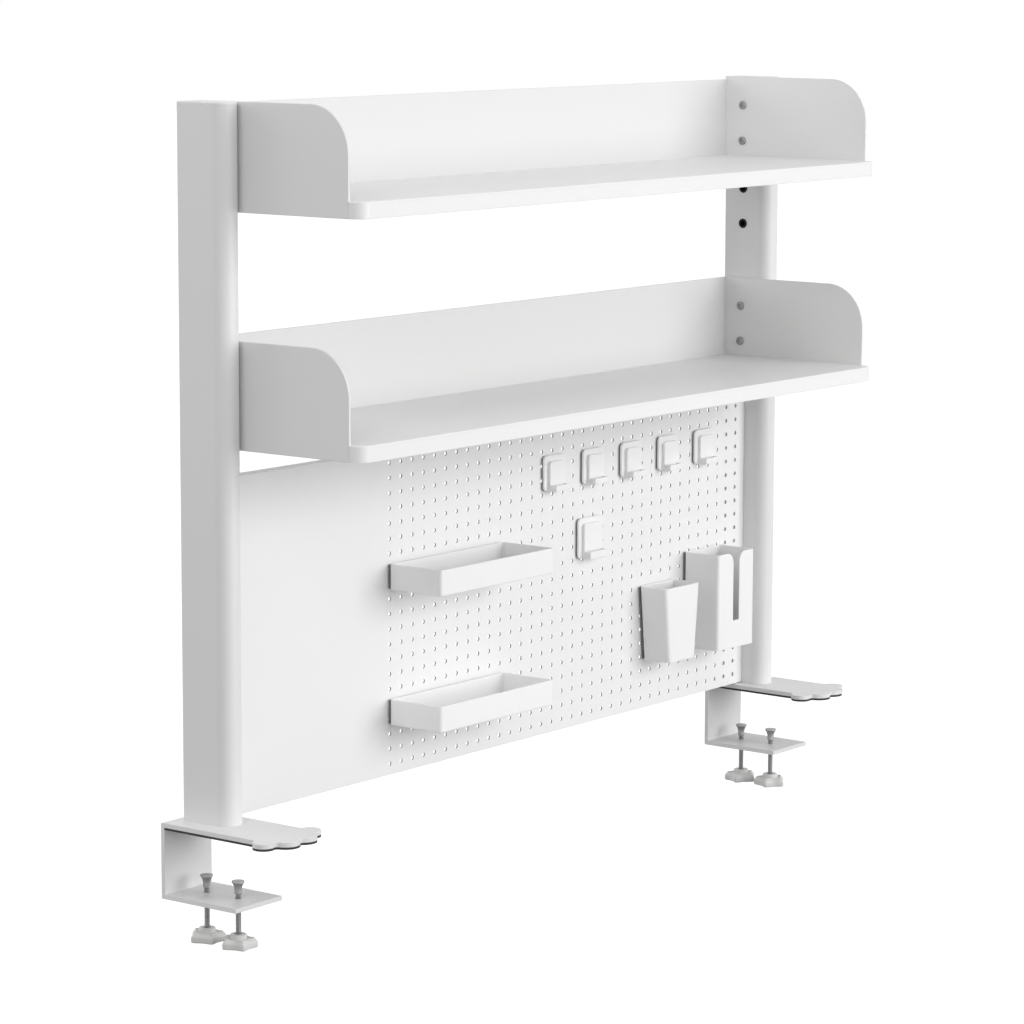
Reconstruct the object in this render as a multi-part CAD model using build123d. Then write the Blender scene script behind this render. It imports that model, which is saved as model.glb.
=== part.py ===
from build123d import *
from math import sqrt
import os

# A desk hutch with a pegboard: two posts on desk clamps carry two shelves and a perforated panel.
# Millimetres. The origin is on the desk top, midway between the posts, in the plane of their backs.
# X runs to the right, the front faces -Y, Z is up. A reach is a distance in front of the posts' backs.

# Fits and cuts
overrun = 2
slide_gap = 0.3
screw_gap = 0.2
seat_gap = 0.1

# Clamps
pad_thickness = 2.5
clamp_plate = 5
clamp_width = 76
clamp_height = 85
clamp_back = 11
clamp_offset = 3
jaw_reach = 97
clamp_edge_round = 1.5
side_lobe_reach = 138
side_lobe_radius = 12
side_lobe_overlap = 1.3
front_lobe_reach = 148.5
front_lobe_radius = 15.5
front_lobe_overlap = 3
lobe_valley_round = 4

# Posts
post_span = 1000
post_width = 32
post_flat = 50
post_wall = 2
post_base = 8
cap_thickness = 3
cap_plug_depth = 14
cap_edge_round = 1

# Screws that hold each post on its clamp
base_screw_radius = 3
base_screw_length = 9
base_head_radius = 5
base_head_height = 3
rear_base_screw_reach = 16
front_base_screw_reach = 46

# Clamp screws, feet and knobs
rear_screw_reach = 21
front_screw_reach = 67
clamp_screw_radius = 3.25
clamp_tip_radius = 2.2
clamp_tip_length = 8
foot_lift = 5.5
foot_height = 14
foot_radius = 7
foot_rim = 1.5
foot_neck_radius = 4
foot_neck_height = 4
screw_spare = 34.5
hub_radius = 9.5
hub_height = 6
hub_round = 1.5
star_radius = 23.5
star_root_radius = 15.5
star_height = 9.5
star_points = 5
star_tip_round = 4
star_root_round = 5
knob_turn = 38
star_edge_round = 1.8
knob_socket = 12

# Shelves
shelf_spacing = 256
shelf_depth = 228
deck_height = 18
deck_sheet = 2
deck_corner_radius = 16
deck_edge_round = 1
end_depth = 211
end_height = 118
end_thickness = 3
end_corner_radius = 52
end_edge_round = 0.6
back_thickness = 2
upper_back_drop = 4

# Studs and nuts under the decks
stud_radius = 2
stud_length = 8
stud_height = 8
end_stud_middle = 112
end_stud_pitch = 68
end_stud_count = 3
back_stud_pitch = 220
back_stud_count = 4
nut_radius = 4
nut_height = 3.2
hexagon_sides = 6

# Bolts between shelves and posts, from the bottom and the top of the end plates.
# A spare pair of holes lies one step below the upper shelf.
bolt_radius = 4
bolt_hole_gap = 0.5
bolt_reach = 27
bolt_height = 37
bolt_drop = 36
shelf_step = 105.5
bolt_head_radius = 5.25
bolt_head_height = 2.4
bolt_head_round = 1
bolt_socket_radius = 2.6
bolt_socket_depth = 1.4
weld_nut_radius = 7
weld_nut_length = 6

# Pegboard
board_front = 33
board_sheet = 1.5
board_height = 376
board_lift = 1
board_shelf_gap = 32
board_flange = 15
hole_radius = 2.5
hole_pitch_x = 20.5
hole_pitch_z = 17.5
plain_width = 282
right_margin = 21
top_margin = 13
board_screw_radius = 2
board_screw_length = 8
board_screw_head_radius = 4
board_screw_head_height = 2
board_screw_pitch = 150
board_screw_count = 3

# Pegs and peg plates behind the accessories
peg_radius = 2.2
peg_reach = 7
peg_round = 0.8
peg_plate = 2.2
peg_plate_inset = 1
peg_plate_corner = 2

# Trays
tray_width = 212
tray_depth = 76
tray_height = 30
tray_wall = 2
tray_corner_radius = 4
tray_foot_round = 1.2
tray_rim_round = 0.6
tray_peg_spread = 164

# Pen cup
cup_top_width = 73.5
cup_bottom_width = 56
cup_depth = 41
cup_height = 94
cup_wall = 2
cup_corner_radius = 5
cup_rim_round = 0.6
cup_peg_rise = 52.5

# Slotted holder
holder_width = 79
holder_depth = 53
holder_height = 122
holder_wall = 2
holder_corner_radius = 4
holder_rim_round = 0.6
holder_peg_spread = 41
holder_peg_rise = 52.5
slot_width = 13.5
slot_floor = 35
slot_flare_radius = 13

# Hooks
small_hook_size = 43
small_lip_height = 7.5
large_hook_size = 50
large_lip_height = 9.5
hook_plate = 2.5
hook_corner_radius = 6
hook_margin = 7
hook_face = 4
hook_face_corner = 4
hook_throat = 6
hook_floor = 3
hook_lip = 2.5
hook_lip_inset = 1
hook_lip_corner = 1.5
hook_cheek = 2
hook_edge_round = 0.8
hook_count = 5

# Places of the accessories: from the left post, from the right post, above the board's bottom edge
tray_from_left = 384.5
upper_tray_rise = 231.75
lower_tray_rise = 74.25
cup_from_right = 195.25
cup_rise = 109.25
holder_from_right = 95.5
holder_rise = 126.75
last_hook_from_right = 96
hook_spacing = 78.7
hook_rise = 319.25
low_hook_from_right = 337.5
low_hook_rise = 231.75

# Places that follow from the sizes above
inner_face = post_span / 2
post_x = inner_face + post_width / 2
clamp_x = post_x + clamp_offset
post_bottom = pad_thickness + clamp_plate
clamp_bottom = post_bottom - clamp_height
board_bottom = post_bottom + board_lift
lower_shelf_bottom = board_bottom + board_height + board_shelf_gap
upper_shelf_bottom = lower_shelf_bottom + shelf_spacing
post_top = upper_shelf_bottom + end_height - cap_thickness
post_height = post_top - post_bottom
accessory_reach = board_front + slide_gap + peg_plate
foot_bottom = clamp_bottom + clamp_plate + foot_lift
knob_top = clamp_bottom - screw_spare
deck_half_width = inner_face - end_thickness
bolt_pitch = end_height - bolt_height - bolt_drop

# Grid of holes
column_count = round((post_span - plain_width - right_margin) / hole_pitch_x) + 1
row_count = round((board_height - 2 * top_margin) / hole_pitch_z) + 1
columns = [plain_width - inner_face + index * hole_pitch_x for index in range(column_count)]
rows = [board_bottom + top_margin + index * hole_pitch_z for index in range(row_count)]

TOWARDS_X = Rot(0, 90, 0)
TOWARDS_FRONT = Rot(90, 0, 0)
CORNER = (Align.MIN, Align.MIN, Align.MIN)
STANDING = (Align.CENTER, Align.CENTER, Align.MIN)
FROM_BACK = (Align.CENTER, Align.MAX)
FROM_FLOOR = (Align.CENTER, Align.MIN)

parts = {}


def block(x_low, x_high, y_low, y_high, z_low, z_high):
    """Box between two limits along each axis."""
    box = Box(x_high - x_low, y_high - y_low, z_high - z_low, align=CORNER)
    return Pos(x_low, y_low, z_low) * box


def rod(radius, length):
    """Round bar that stands on the origin along Z."""
    return Cylinder(radius, length, align=STANDING)


def mirrored(shape):
    """The same piece on the other side of the object."""
    return mirror(shape, about=Plane.YZ)


def spread(middle, pitch, count):
    """Evenly spaced places about a middle one."""
    return [middle + (index - (count - 1) / 2) * pitch for index in range(count)]


def mirror_point(point):
    """The same point of an outline on the other side."""
    return -point[0], point[1]


def add_pair(name, left_piece):
    """Keep a left-hand piece and its mirror image."""
    parts["left_" + name] = left_piece
    parts["right_" + name] = mirrored(left_piece)


def post_section(inset):
    """D-shaped section of a post, shrunk all round by the inset."""
    nose_radius = post_width / 2 - inset
    sides = Rectangle(2 * nose_radius, post_flat - inset, align=FROM_BACK)
    return Pos(0, -inset) * sides + Pos(0, -post_flat) * Circle(nose_radius)


def post_bolt_heights():
    """Heights of all the shelf bolt holes in a post."""
    shelf_levels = (lower_shelf_bottom, upper_shelf_bottom, upper_shelf_bottom - shelf_step)
    return [level + bolt_height + extra for level in shelf_levels for extra in (0, bolt_pitch)]


def board_screw_heights():
    """Heights of the screws in each side flange of the pegboard."""
    return spread(board_bottom + board_height / 2, board_screw_pitch, board_screw_count)


def board_screw_reach():
    """Reach of the screws along the middle of the pegboard's side flange."""
    return board_front - board_flange / 2


def make_post():
    """Left post: hollow tube with a welded base, weld nuts for the shelves and screw holes."""
    tube = extrude(post_section(0), post_height) - extrude(post_section(post_wall), post_height)
    post = Pos(-post_x, 0, post_bottom) * (tube + extrude(post_section(post_wall), post_base))
    for height in post_bolt_heights():
        nut_start = Pos(-inner_face - post_wall - weld_nut_length, -bolt_reach, height) * TOWARDS_X
        post += nut_start * rod(weld_nut_radius, weld_nut_length)
        post -= nut_start * rod(bolt_radius + bolt_hole_gap, weld_nut_length + post_wall + overrun)
    for height in board_screw_heights():
        start = Pos(-inner_face - board_screw_length, -board_screw_reach(), height) * TOWARDS_X
        post -= start * rod(board_screw_radius + screw_gap, board_screw_length + overrun)
    for reach in (rear_base_screw_reach, front_base_screw_reach):
        post -= Pos(-post_x, -reach, post_bottom) * rod(base_screw_radius + screw_gap, post_base)
    return post


def make_cap():
    """Left post cap: a lid with a plug inside the tube."""
    lid = extrude(post_section(0), cap_thickness)
    lid = fillet(lid.faces().sort_by(Axis.Z)[-1].edges(), cap_edge_round)
    plug = Pos(0, 0, -cap_plug_depth) * extrude(post_section(post_wall + seat_gap), cap_plug_depth)
    return Pos(-post_x, 0, post_top) * (lid + plug)


def scalloped_plate(back_reach):
    """Outline of a clamp's top plate: straight sides and a front edge of four lobes."""
    straight = Pos(0, -back_reach) * Rectangle(clamp_width, side_lobe_reach - back_reach, align=FROM_BACK)
    front_offset = front_lobe_radius - front_lobe_overlap / 2
    lobe_distance = front_lobe_radius + side_lobe_radius - side_lobe_overlap
    side_offset = front_offset + sqrt(lobe_distance ** 2 - (front_lobe_reach - side_lobe_reach) ** 2)
    centres = [(side_offset, -side_lobe_reach), (front_offset, -front_lobe_reach)]
    centres += [mirror_point(centre) for centre in reversed(centres)]
    outline = straight + make_face(Polyline(*centres, close=True))
    radii = (side_lobe_radius, front_lobe_radius, front_lobe_radius, side_lobe_radius)
    for centre, radius in zip(centres, radii):
        outline += Pos(*centre) * Circle(radius)
    valleys = outline.vertices().sort_by(Axis.Y)[:-2]
    return fillet(valleys, lobe_valley_round)


def make_clamp():
    """Left clamp: bent plate with a jaw, holes for the post's screws and for the clamp screws."""
    half_width = clamp_width / 2
    top = Pos(0, 0, pad_thickness) * extrude(scalloped_plate(-clamp_back), clamp_plate)
    back = block(-half_width, half_width, clamp_back - clamp_plate, clamp_back, clamp_bottom, post_bottom)
    jaw = block(-half_width, half_width, -jaw_reach, clamp_back, clamp_bottom, clamp_bottom + clamp_plate)
    clamp = top + back + jaw
    bends = clamp.edges().filter_by(Axis.X).group_by(Axis.Y)[-1]
    clamp = fillet(bends, clamp_edge_round)
    for reach in (rear_base_screw_reach, front_base_screw_reach):
        start = Pos(clamp_offset, -reach, pad_thickness)
        clamp -= start * rod(base_screw_radius + screw_gap, clamp_plate)
        clamp -= start * rod(base_head_radius + screw_gap, base_head_height + screw_gap)
    for reach in (rear_screw_reach, front_screw_reach):
        clamp -= Pos(0, -reach, clamp_bottom) * rod(clamp_screw_radius + slide_gap, clamp_plate)
    return Pos(-clamp_x, 0, 0) * clamp


def make_base_screws():
    """Screws from under the left clamp's top plate into the base of the post."""
    screw = rod(base_head_radius, base_head_height)
    screw += Pos(0, 0, base_head_height) * rod(base_screw_radius, base_screw_length)
    reaches = (rear_base_screw_reach, front_base_screw_reach)
    seat = pad_thickness + screw_gap
    return Compound(children=[Pos(-post_x, -reach, seat) * screw for reach in reaches])


def make_pad():
    """Left pad: rubber sheet of the top plate's outline in front of the clamp's back."""
    outline = scalloped_plate(clamp_plate - clamp_back + seat_gap)
    return Pos(-clamp_x, 0, 0) * extrude(outline, pad_thickness)


def make_foot():
    """Flared foot of a clamp screw, with a blind socket for the screw's tip."""
    rim_edge = (foot_radius, foot_height - foot_rim)
    neck_edge = (foot_neck_radius, foot_neck_height)
    rim = Polyline((0, foot_height), (foot_radius, foot_height), rim_edge)
    flare = TangentArc(neck_edge, rim_edge, tangent=(0, 1))
    neck = Polyline(neck_edge, (foot_neck_radius, 0), (0, 0), (0, foot_height))
    foot = revolve(make_face(Plane.XZ * (rim + flare + neck)), Axis.Z)
    return foot - rod(clamp_tip_radius + slide_gap, clamp_tip_length + slide_gap)


def make_clamp_screw():
    """Clamp screw from its knob up to its tip, measured from the foot's lower end."""
    shank_end = -slide_gap
    shank_start = knob_top - knob_socket - foot_bottom
    shank = Pos(0, 0, shank_start) * rod(clamp_screw_radius, shank_end - shank_start)
    tip = Pos(0, 0, shank_end) * rod(clamp_tip_radius, clamp_tip_length)
    return shank + tip


def make_knob():
    """Star knob with a hub, measured from the hub's top."""
    star_top = -hub_height
    turn = 360 / star_points
    corners = []
    for index in range(star_points):
        tip_angle = knob_turn + turn * index
        corners.append(Vector(star_radius, 0).rotate(Axis.Z, tip_angle))
        corners.append(Vector(star_root_radius, 0).rotate(Axis.Z, tip_angle + turn / 2))
    outline = make_face(Polyline(*corners, close=True))
    outline = fillet(outline.vertices().sort_by_distance((0, 0))[star_points:], star_tip_round)
    outline = fillet(outline.vertices().sort_by_distance((0, 0))[:star_points], star_root_round)
    star = Pos(0, 0, star_top - star_height) * extrude(outline, star_height)
    rims = star.edges().filter_by(Axis.Z, reverse=True)
    star = fillet(rims, star_edge_round)
    hub = Pos(0, 0, star_top) * rod(hub_radius, hub_height)
    hub = fillet(hub.faces().sort_by(Axis.Z)[-1].edges(), hub_round)
    socket = Pos(0, 0, -knob_socket - seat_gap) * rod(clamp_screw_radius + seat_gap, knob_socket + overrun)
    return star + hub - socket


def make_end(shelf_bottom):
    """Left end plate of a shelf, with bolt holes and studs for the deck."""
    outline = Rectangle(end_depth, end_height, align=(Align.MAX, Align.MIN))
    corner = outline.vertices().sort_by(Axis.X)[:2].sort_by(Axis.Y)[-1]
    outline = fillet(corner, end_corner_radius)
    end = extrude(Plane.YZ * outline, end_thickness)
    end = fillet(end.faces().sort_by(Axis.X)[0].edges(), end_edge_round)
    for height in (bolt_height, bolt_height + bolt_pitch):
        hole = rod(bolt_radius + bolt_hole_gap, end_thickness)
        end -= Pos(0, -bolt_reach, height) * TOWARDS_X * hole
    for reach in spread(end_stud_middle, end_stud_pitch, end_stud_count):
        end += Pos(end_thickness, -reach, stud_height) * TOWARDS_X * rod(stud_radius, stud_length)
    return Pos(-inner_face, 0, shelf_bottom) * end


def make_back(shelf_bottom, drop):
    """Back panel of a shelf, with studs for the deck and its top a drop below the tops of the end plates."""
    panel = block(-deck_half_width, deck_half_width, -back_thickness, 0, 0, end_height - drop)
    for x in spread(0, back_stud_pitch, back_stud_count):
        panel += Pos(x, -back_thickness, stud_height) * TOWARDS_FRONT * rod(stud_radius, stud_length)
    return Pos(0, 0, shelf_bottom) * panel


def make_deck(shelf_bottom):
    """Shelf deck: a sheet on a rim of welded bars, with a proud front lip with rounded corners."""
    lip_reach = end_depth + slide_gap
    lip = Pos(0, -lip_reach) * Rectangle(post_span, shelf_depth - lip_reach, align=FROM_BACK)
    lip = fillet(lip.vertices().sort_by(Axis.Y)[:2], deck_corner_radius)
    floor = Rectangle(2 * deck_half_width, lip_reach - back_thickness, align=FROM_BACK)
    outline = Pos(0, -back_thickness) * floor + lip
    pan = extrude(outline, deck_height)
    top_edges = pan.faces().sort_by(Axis.Z)[-1].edges()
    lip_edges = top_edges.filter_by(lambda edge: edge.center().Y < -lip_reach - deck_edge_round)
    pan = fillet(lip_edges, deck_edge_round)
    sheet_low = deck_height - deck_sheet
    pan -= extrude(offset(outline, -deck_sheet), sheet_low)
    stud_hole = rod(stud_radius + screw_gap, deck_sheet + overrun)
    for reach in spread(end_stud_middle, end_stud_pitch, end_stud_count):
        hole = Pos(-deck_half_width, -reach, stud_height) * TOWARDS_X * stud_hole
        pan -= hole
        pan -= mirrored(hole)
    for x in spread(0, back_stud_pitch, back_stud_count):
        pan -= Pos(x, -back_thickness, stud_height) * TOWARDS_FRONT * stud_hole
    bar_end = inner_face - deck_corner_radius
    bar_inside = deck_half_width - deck_sheet
    corner_start = deck_sheet - lip_reach
    back_inside = -back_thickness - deck_sheet
    regions = [
        (-inner_face, inner_face, -shelf_depth, 0, sheet_low, deck_height),
        (-bar_end, bar_end, -shelf_depth, corner_start, 0, sheet_low),
        (-bar_inside, bar_inside, back_inside, 0, 0, sheet_low),
        (-inner_face, -bar_end, -shelf_depth, corner_start, 0, sheet_low),
        (bar_end, inner_face, -shelf_depth, corner_start, 0, sheet_low),
        (-inner_face, -bar_inside, corner_start, 0, 0, sheet_low),
        (bar_inside, inner_face, corner_start, 0, 0, sheet_low),
    ]
    return Compound(children=[Pos(0, 0, shelf_bottom) * (pan & block(*region)) for region in regions])


def make_nuts(shelf_bottom):
    """Nuts on all the studs under one deck."""
    hexagon = RegularPolygon(nut_radius, hexagon_sides) - Circle(stud_radius + seat_gap)
    nut = extrude(hexagon, nut_height)
    nuts = []
    for reach in spread(end_stud_middle, end_stud_pitch, end_stud_count):
        left_nut = Pos(-deck_half_width + deck_sheet, -reach, stud_height) * TOWARDS_X * nut
        nuts += [left_nut, mirrored(left_nut)]
    for x in spread(0, back_stud_pitch, back_stud_count):
        nuts.append(Pos(x, -back_thickness - deck_sheet, stud_height) * TOWARDS_FRONT * nut)
    return Compound(children=[Pos(0, 0, shelf_bottom) * piece for piece in nuts])


def make_bolts(shelf_bottom):
    """Button-head bolts that hold one shelf to both posts."""
    shank_length = end_thickness + post_wall + weld_nut_length
    head = Pos(0, 0, shank_length) * rod(bolt_head_radius, bolt_head_height)
    head = fillet(head.faces().sort_by(Axis.Z)[-1].edges(), bolt_head_round)
    socket_floor = shank_length + bolt_head_height - bolt_socket_depth
    hexagon = RegularPolygon(bolt_socket_radius, hexagon_sides)
    socket = Pos(0, 0, socket_floor) * extrude(hexagon, bolt_socket_depth)
    bolt = rod(bolt_radius, shank_length) + head - socket
    bolts = []
    for height in (bolt_height, bolt_height + bolt_pitch):
        start = Pos(-inner_face - post_wall - weld_nut_length, -bolt_reach, shelf_bottom + height)
        left_bolt = start * TOWARDS_X * bolt
        bolts += [left_bolt, mirrored(left_bolt)]
    return Compound(children=bolts)


def make_pegboard():
    """Perforated panel with flanges folded back all round and screw holes in its side flanges."""
    half_width = inner_face - seat_gap
    sheet_back = -board_front + board_sheet
    flange_back = -board_front + board_flange
    board_top = board_bottom + board_height
    outer = Wire.make_polygon([(-half_width, board_bottom), (half_width, board_bottom),
                               (half_width, board_top), (-half_width, board_top)])
    holes = [Wire.make_circle(hole_radius, Plane((x, z, 0))) for x in columns for z in rows]
    panel = Pos(0, sheet_back, 0) * extrude(Plane.XZ * Face(outer, holes), board_sheet)
    for low, high in ((board_bottom, board_bottom + board_sheet), (board_top - board_sheet, board_top)):
        panel += block(-half_width, half_width, sheet_back, flange_back, low, high)
    for side in (-1, 1):
        edges = sorted((side * half_width, side * (half_width - board_sheet)))
        panel += block(*edges, sheet_back, flange_back, board_bottom, board_top)
        for height in board_screw_heights():
            start = Pos(edges[0] - overrun, -board_screw_reach(), height) * TOWARDS_X
            panel -= start * rod(board_screw_radius + screw_gap, board_sheet + 2 * overrun)
    return panel


def make_board_screws():
    """Screws through the pegboard's side flanges into both posts."""
    head = Pos(0, 0, board_screw_length) * rod(board_screw_head_radius, board_screw_head_height)
    screw = rod(board_screw_radius, board_screw_length) + head
    screws = []
    for height in board_screw_heights():
        tip = board_screw_length - board_sheet - seat_gap
        left_screw = Pos(-inner_face - tip, -board_screw_reach(), height) * TOWARDS_X * screw
        screws += [left_screw, mirrored(left_screw)]
    return Compound(children=screws)


def nearest_lines(lines, middle, gap, pitch):
    """The two grid lines that lie nearest to a gap about a middle place, or one line for no gap."""
    low = round((middle - gap / 2 - lines[0]) / pitch)
    high = low + round(gap / pitch)
    return sorted({lines[low], lines[high]})


def add_accessory(name, x, rise, peg_spread, peg_rise, body, back_outline):
    """Keep an accessory and its peg plate, with pegs in the holes nearest to its place.

    The body and the outline of its back are centred on the origin, with the back in the plane Y = 0.
    """
    peg_columns = nearest_lines(columns, x, peg_spread, hole_pitch_x)
    peg_rows = nearest_lines(rows, board_bottom + rise, peg_rise, hole_pitch_z)
    z = sum(peg_rows) / len(peg_rows)
    parts[name] = Pos(x, -accessory_reach, z) * body
    plate_front = Pos(x, -accessory_reach + peg_plate, z)
    plate = plate_front * extrude(Plane.XZ * back_outline, peg_plate)
    peg = rod(peg_radius, peg_reach + slide_gap)
    peg = fillet(peg.faces().sort_by(Axis.Z)[0].edges(), peg_round)
    peg_end = peg_reach - board_front
    for peg_x in peg_columns:
        for peg_z in peg_rows:
            plate += Pos(peg_x, peg_end, peg_z) * TOWARDS_FRONT * peg
    parts[name + "_peg_plate"] = plate


def rounded_outline(width, height, corner):
    """Outline of a peg plate, inset from the back of its accessory."""
    return RectangleRounded(width - 2 * peg_plate_inset, height - 2 * peg_plate_inset, corner)


def make_tray():
    """Open tray with thin walls, centred on its back."""
    outer = extrude(RectangleRounded(tray_width, tray_depth, tray_corner_radius), tray_height)
    outer = fillet(outer.faces().sort_by(Axis.Z)[0].edges(), tray_foot_round)
    inner_section = RectangleRounded(
        tray_width - 2 * tray_wall, tray_depth - 2 * tray_wall, tray_corner_radius - tray_wall)
    tray = outer - Pos(0, 0, tray_wall) * extrude(inner_section, tray_height)
    tray = fillet(tray.faces().sort_by(Axis.Z)[-1].edges(), tray_rim_round)
    return Pos(0, -tray_depth / 2, -tray_height / 2) * tray


def cup_width(height):
    """Width of the tapered cup at a height above its bottom."""
    taper_share = height / cup_height
    return cup_bottom_width + (cup_top_width - cup_bottom_width) * taper_share


def make_cup():
    """Pen cup whose sides taper towards the bottom, centred on its back."""
    outer = loft([
        Pos(0, 0, height) * RectangleRounded(cup_width(height), cup_depth, cup_corner_radius)
        for height in (0, cup_height)
    ])
    inner = loft([
        Pos(0, 0, height) * RectangleRounded(
            cup_width(height) - 2 * cup_wall, cup_depth - 2 * cup_wall, cup_corner_radius - cup_wall)
        for height in (cup_wall, cup_height + overrun)
    ])
    cup = outer - inner
    cup = fillet(cup.faces().sort_by(Axis.Z)[-1].edges(), cup_rim_round)
    return Pos(0, -cup_depth / 2, -cup_height / 2) * cup


def cup_back_outline():
    """Tapered outline of the cup's peg plate."""
    low = -cup_height / 2 + peg_plate_inset
    half_bottom = cup_bottom_width / 2 - peg_plate_inset
    half_top = cup_top_width / 2 - peg_plate_inset
    right_side = [(half_bottom, low), (half_top, -low)]
    left_side = [mirror_point(point) for point in reversed(right_side)]
    outline = make_face(Polyline(*right_side, *left_side, close=True))
    return fillet(outline.vertices(), peg_plate_corner)


def make_holder():
    """Tall holder with a slot in its front wall that flares at the top, centred on its back."""
    outer = extrude(RectangleRounded(holder_width, holder_depth, holder_corner_radius), holder_height)
    inner_section = RectangleRounded(
        holder_width - 2 * holder_wall, holder_depth - 2 * holder_wall, holder_corner_radius - holder_wall)
    holder = outer - Pos(0, 0, holder_wall) * extrude(inner_section, holder_height)
    holder = fillet(holder.faces().sort_by(Axis.Z)[-1].edges(), holder_rim_round)
    slot = Pos(0, slot_floor) * Rectangle(slot_width, holder_height, align=FROM_FLOOR)
    flare_low = holder_height - slot_flare_radius
    flare = Pos(0, flare_low) * Rectangle(
        slot_width + 2 * slot_flare_radius, slot_flare_radius + overrun, align=FROM_FLOOR)
    for side in (-1, 1):
        flare -= Pos(side * (slot_width / 2 + slot_flare_radius), flare_low) * Circle(slot_flare_radius)
    holder -= extrude(Plane.XZ * (slot + flare), holder_depth)
    return Pos(0, -holder_depth / 2, -holder_height / 2) * holder


def hook_panel(width, height, thickness, corner):
    """Panel that stands on the origin, with rounded upper corners and front edges."""
    outline = Rectangle(width, height, align=FROM_FLOOR)
    outline = fillet(outline.vertices().sort_by(Axis.Y)[-2:], corner)
    panel = extrude(Plane.XZ * outline, thickness)
    return fillet(panel.faces().sort_by(Axis.Y)[0].edges(), hook_edge_round)


def make_hook(size, lip_height):
    """Hook: a rounded plate with a raised face and a low pocket with a lip, centred on its back."""
    plate = extrude(Plane.XZ * RectangleRounded(size, size, hook_corner_radius), hook_plate)
    plate = fillet(plate.faces().sort_by(Axis.Y)[0].edges(), hook_edge_round)
    low = -size / 2
    face_width = size - 2 * hook_margin
    face_front = -hook_plate - hook_face
    face = Pos(0, -hook_plate, low) * hook_panel(face_width, size - hook_margin, hook_face, hook_face_corner)
    lip_width = face_width - 2 * hook_lip_inset
    pocket = hook_panel(lip_width, lip_height, hook_throat + hook_lip, hook_lip_corner)
    half_throat = lip_width / 2 - hook_cheek
    pocket -= block(-half_throat, half_throat, -hook_throat, 0, hook_floor, lip_height)
    return plate + face + Pos(0, face_front, low) * pocket


# Frame and clamps
add_pair("post", make_post())
add_pair("post_cap", make_cap())
add_pair("clamp", make_clamp())
add_pair("pad", make_pad())
add_pair("base_screws", make_base_screws())

# Clamp screws with their feet and knobs
for place, reach in (("rear", rear_screw_reach), ("front", front_screw_reach)):
    foot_start = Pos(-clamp_x, -reach, foot_bottom)
    add_pair(place + "_foot", foot_start * make_foot())
    add_pair(place + "_screw", foot_start * make_clamp_screw())
    add_pair(place + "_knob", Pos(-clamp_x, -reach, knob_top) * make_knob())

# Shelves
shelf_places = (("upper", upper_shelf_bottom, upper_back_drop), ("lower", lower_shelf_bottom, 0))
for level, bottom, back_drop in shelf_places:
    left_end = make_end(bottom)
    parts[level + "_left_end"] = left_end
    parts[level + "_right_end"] = mirrored(left_end)
    parts[level + "_back_panel"] = make_back(bottom, back_drop)
    parts[level + "_deck"] = make_deck(bottom)
    parts[level + "_nuts"] = make_nuts(bottom)
    parts[level + "_bolts"] = make_bolts(bottom)

# Pegboard
parts["pegboard"] = make_pegboard()
parts["pegboard_screws"] = make_board_screws()

# Accessories on the pegboard
tray_outline = rounded_outline(tray_width, tray_height, peg_plate_corner)
for level, rise in (("upper", upper_tray_rise), ("lower", lower_tray_rise)):
    add_accessory(level + "_tray", tray_from_left - inner_face, rise, tray_peg_spread, hole_pitch_z,
                  make_tray(), tray_outline)
add_accessory("pen_cup", inner_face - cup_from_right, cup_rise, hole_pitch_x, cup_peg_rise,
              make_cup(), cup_back_outline())
holder_outline = rounded_outline(holder_width, holder_height, peg_plate_corner)
add_accessory("slotted_holder", inner_face - holder_from_right, holder_rise, holder_peg_spread,
              holder_peg_rise, make_holder(), holder_outline)
small_outline = rounded_outline(small_hook_size, small_hook_size, hook_corner_radius - peg_plate_inset)
for index in range(hook_count):
    hook_x = inner_face - last_hook_from_right - (hook_count - 1 - index) * hook_spacing
    add_accessory(f"hook_{index + 1}", hook_x, hook_rise, 0, hole_pitch_z,
                  make_hook(small_hook_size, small_lip_height), small_outline)
large_outline = rounded_outline(large_hook_size, large_hook_size, hook_corner_radius - peg_plate_inset)
add_accessory("low_hook", inner_face - low_hook_from_right, low_hook_rise, 0, hole_pitch_z,
              make_hook(large_hook_size, large_lip_height), large_outline)

os.makedirs("parts", exist_ok=True)
for name, shape in parts.items():
    export_step(shape, f"parts/{name}.step")
print(len(parts), "parts written")
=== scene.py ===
"""Dresses a clamp-on desk hutch: coated posts, shelves and pegboard, moulded accessories, clamps."""

import logging
import math
from collections.abc import Callable, Iterable
from dataclasses import dataclass, field
from enum import Enum

import bmesh
import bpy
from mathutils import Matrix, Vector


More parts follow.
